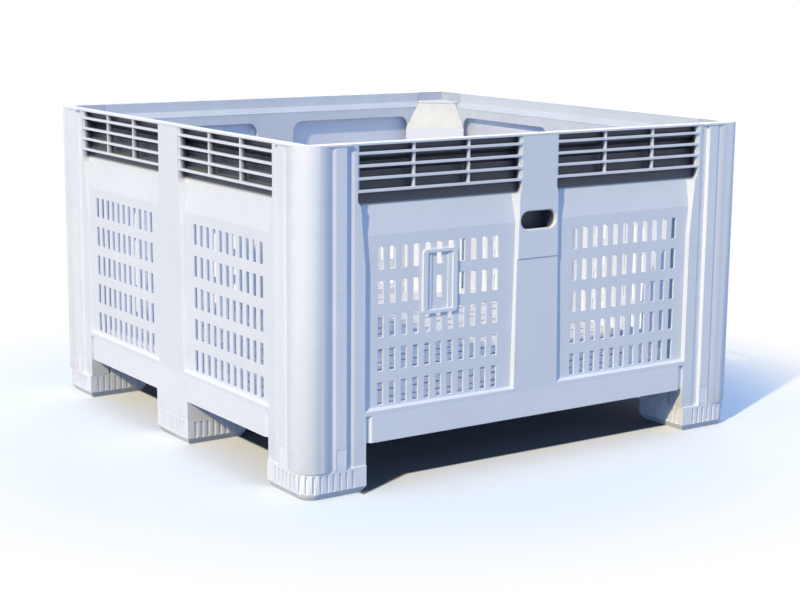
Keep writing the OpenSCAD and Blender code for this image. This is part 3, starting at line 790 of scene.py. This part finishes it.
@dataclass
class Studio:
    """Floor, soft light and the camera of the photograph's viewing angle."""

    camera_at: tuple[float, float, float] = (-2.30767, -3.45040, 1.05948)
    yaw: float = 34.238
    pitch: float = -10.845
    roll: float = 0.472
    focal_px: float = 1711.87
    width_px: float = 800.0
    sensor: float = 36.0
    far_clip: float = 200.0
    lamp_away: float = 6.0
    sun_from: tuple[float, float, float] = (-0.743, -0.349, 0.571)
    sun_strength: float = 3.3
    sun_angle: float = 2.0
    sun_colour: tuple[float, float, float] = (1.0, 0.815, 0.475)
    fill_from: tuple[float, float, float] = (0.64, 0.66, 0.40)
    fill_strength: float = 0.7
    fill_angle: float = 40.0
    fill_colour: tuple[float, float, float] = (1.0, 0.80, 0.50)
    sky_strength: float = 0.86
    sky_colour: tuple[float, float, float] = (0.295, 0.55, 1.0)
    pool_start: float = 0.8
    pool_end: float = 1.4
    floor_size: float = 80.0
    floor_drop: float = 0.3 * MM
    floor_tone: tuple[float, float, float] = (0.90, 0.93, 0.97)
    # painted shadow colour of the ground under the bin
    floor_painted_shadow: tuple[float, float, float] = (0.17, 0.165, 0.17)
    bounce_low: tuple[float, float, float] = (0.20, 0.22, 0.26)
    bounce_high: tuple[float, float, float] = (0.235, 0.255, 0.295)
    bounce_noise: tuple[float, float] = (0.8, 3.0)
    shade_x: tuple[float, float] = (-0.462, 0.585)
    shade_y: tuple[float, float] = (-0.532, 0.585)
    shade_edge: float = 0.010
    shade_foot: tuple[float, float] = (-0.434, -0.598)

    def camera(self) -> None:
        """Place the camera by its measured heading, tilt and roll."""
        yaw, pitch, roll = (math.radians(a) for a in (self.yaw, self.pitch, self.roll))
        ahead = Vector((math.sin(yaw) * math.cos(pitch), math.cos(yaw) * math.cos(pitch), math.sin(pitch)))
        right = Vector((math.cos(yaw), -math.sin(yaw), 0.0))
        up = right.cross(ahead)
        right_r = math.cos(roll) * right + math.sin(roll) * up
        up_r = math.cos(roll) * up - math.sin(roll) * right
        data = bpy.data.cameras.new("camera")
        data.sensor_width = self.sensor
        data.lens = self.focal_px / self.width_px * self.sensor
        data.clip_end = self.far_clip
        obj = bpy.data.objects.new("camera", data)
        bpy.context.collection.objects.link(obj)
        turn = Matrix((right_r, up_r, -ahead)).transposed().to_4x4()
        obj.matrix_world = Matrix.Translation(Vector(self.camera_at)) @ turn
        bpy.context.scene.camera = obj

    def lamp(self, name: str, source: tuple[float, float, float], strength: float, angle: float,
             colour: tuple[float, float, float]) -> None:
        """Add one far lamp.

        Args:
            name: the lamp's name.
            source: where its light comes from.
            strength: its strength.
            angle: how wide it looks, in degrees.
            colour: its colour.
        """
        data = bpy.data.lights.new(name, "SUN")
        data.energy = strength
        data.angle = math.radians(angle)
        data.color = colour
        obj = bpy.data.objects.new(name, data)
        obj.rotation_mode = "QUATERNION"
        obj.rotation_quaternion = Vector(source).to_track_quat("Z", "Y")
        obj.location = Vector(source) * self.lamp_away
        bpy.context.collection.objects.link(obj)

    def lights(self) -> None:
        """Add a warm key lamp, a soft fill behind the bin and a cool even sky that is white to the camera."""
        self.lamp("key", self.sun_from, self.sun_strength, self.sun_angle, self.sun_colour)
        self.lamp("fill", self.fill_from, self.fill_strength, self.fill_angle, self.fill_colour)
        world = bpy.data.worlds.new("studio_sky")
        world.use_nodes = True
        wrap = NodeTree(world.node_tree)
        back = world.node_tree.nodes["Background"]
        back.inputs["Color"].default_value = (*self.sky_colour, 1.0)
        back.inputs["Strength"].default_value = self.sky_strength
        seen = wrap.add("ShaderNodeBackground")
        seen.inputs["Color"].default_value = (1.0, 1.0, 1.0, 1.0)
        wrap.link(wrap.either(self.seen_ray(wrap), back.outputs[0], seen.outputs[0]),
                  world.node_tree.nodes["World Output"].inputs["Surface"])
        bpy.context.scene.world = world

    def seen_ray(self, wrap: NodeTree) -> bpy.types.NodeSocket:
        """Return a mask of the rays that show the backdrop: camera, mirror and glass rays."""
        path = wrap.add("ShaderNodeLightPath")
        mirrored = wrap.math("MAXIMUM", path.outputs["Is Glossy Ray"], path.outputs["Is Transmission Ray"])
        return wrap.math("MAXIMUM", path.outputs["Is Camera Ray"], mirrored)

    def painted_shadow_under_bin(self, wrap: NodeTree, where: bpy.types.NodeSocket) -> bpy.types.NodeSocket:
        """Mask the ground where the bin's shadow is painted: under the bin and beside its near foot.

        Args:
            wrap: the floor's node tree.
            where: the floor's coordinates.

        Returns:
            A socket that is 1 where the shadow is painted.
        """
        across, along, _ = wrap.split(where)
        slant = self.sun_from[1] / self.sun_from[0]
        start = self.shade_foot[1] - slant * self.shade_foot[0]
        behind_foot = wrap.ramp(wrap.math("SUBTRACT", along, wrap.math("MULTIPLY", across, slant)),
                                start, start + self.shade_edge)
        behind_sill = wrap.ramp(along, self.shade_y[0], self.shade_y[0] + self.shade_edge)
        return wrap.product(
            wrap.math("MAXIMUM", behind_foot, behind_sill),
            wrap.ramp(along, self.shade_y[1] - self.shade_edge, self.shade_y[1], 1.0, 0.0),
            wrap.ramp(across, self.shade_x[0], self.shade_x[0] + self.shade_edge),
            wrap.ramp(across, self.shade_x[1] - self.shade_edge, self.shade_x[1], 1.0, 0.0))

    def floor(self) -> None:
        """Lay a plain white floor with the bin's shadow painted darker under it, dimmer as a reflector and clear
        from below.
        """
        bpy.ops.mesh.primitive_plane_add(size=self.floor_size, location=(0.0, 0.0, -self.floor_drop))
        obj = bpy.context.active_object
        obj.name = "floor"
        material, wrap, where, surface = new_material("pale_floor")
        distance = wrap.add("ShaderNodeVectorMath", operation="LENGTH")
        wrap.link(where, distance.inputs[0])
        near, bounce = wrap.add("ShaderNodeBsdfDiffuse"), wrap.add("ShaderNodeBsdfDiffuse")
        white, clear = wrap.add("ShaderNodeEmission"), wrap.add("ShaderNodeBsdfTransparent")
        # painted shadow: the floor colour is darker where the bin's shadow falls
        wrap.link(wrap.mix(self.painted_shadow_under_bin(wrap, where), (*self.floor_tone, 1.0), (*self.floor_painted_shadow, 1.0)),
                  near.inputs["Color"])
        tone = wrap.mix(wrap.noise(where, *self.bounce_noise), (*self.bounce_low, 1.0), (*self.bounce_high, 1.0))
        wrap.link(tone, bounce.inputs["Color"])
        shown = wrap.either(wrap.ramp(distance.outputs["Value"], self.pool_start, self.pool_end),
                            near.outputs[0], white.outputs[0])
        lit = wrap.either(self.seen_ray(wrap), bounce.outputs[0], shown)
        below = wrap.add("ShaderNodeNewGeometry").outputs["Backfacing"]
        wrap.link(wrap.either(below, lit, clear.outputs[0]), surface)
        obj.data.materials.append(material)


@dataclass
class FruitBin:
    """The whole bin, by its groups of CAD nodes."""

    frame: dict
    effects: PlasticEffects = field(default_factory=PlasticEffects)

    def finishes(self) -> Finishes:
        """Return the bin's materials."""
        pale, white, shade = (0.83, 0.87, 0.965), (0.775, 0.815, 0.915), (0.725, 0.77, 0.87)
        return Finishes(
            wall=PlasticFinish("wall_plastic", white, shade).build(self.effects),
            # posts: strong painted shade on their inner faces above the gusset
            post=PlasticFinish("post_plastic", (0.805, 0.845, 0.94), (0.76, 0.80, 0.895),
                               film_and_shade=(0.34, 0.38, 0.46), painted_shade_amount=0.0, film_and_shade_amount=0.1,
                               shade_above_gusset=0.75).build(self.effects),
            shelf=PlasticFinish("shelf_plastic", white, shade, painted_shade_amount=0.0,
                                film_and_shade_amount=0.35).build(self.effects),
            base=PlasticFinish("base_plastic", pale, white, roughness=0.48, painted_shade_amount=0.0,
                               ground_amount=0.15).build(self.effects),
            foot=PlasticFinish("foot_plastic", (0.87, 0.905, 0.99), pale, roughness=0.52, painted_shade_amount=0.0,
                               ground_amount=0.08, rub_amount=0.2).build(self.effects),
            zinc=ZincFinish().build())

    def build(self) -> None:
        """Dress every CAD piece and model the ones that replace a CAD piece."""
        finishes = self.finishes()
        for side in Side:
            Wall(side).dress(self.frame, finishes)
        for corner in Corner:
            CornerStack(corner).dress(self.frame, finishes)
        PalletBase().dress(self.frame, finishes)
        CardHolder().dress(self.frame, finishes)
        FootBolts().build(finishes)


def main() -> None:
    """Build the scene in order."""
    logging.basicConfig(level=logging.INFO, format="%(name)s: %(message)s")
    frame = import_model()
    bpy.context.scene.view_settings.view_transform = "Standard"
    studio = Studio()
    studio.camera()
    studio.lights()
    studio.floor()
    FruitBin(frame).build()


if __name__ == "__main__":
    main()
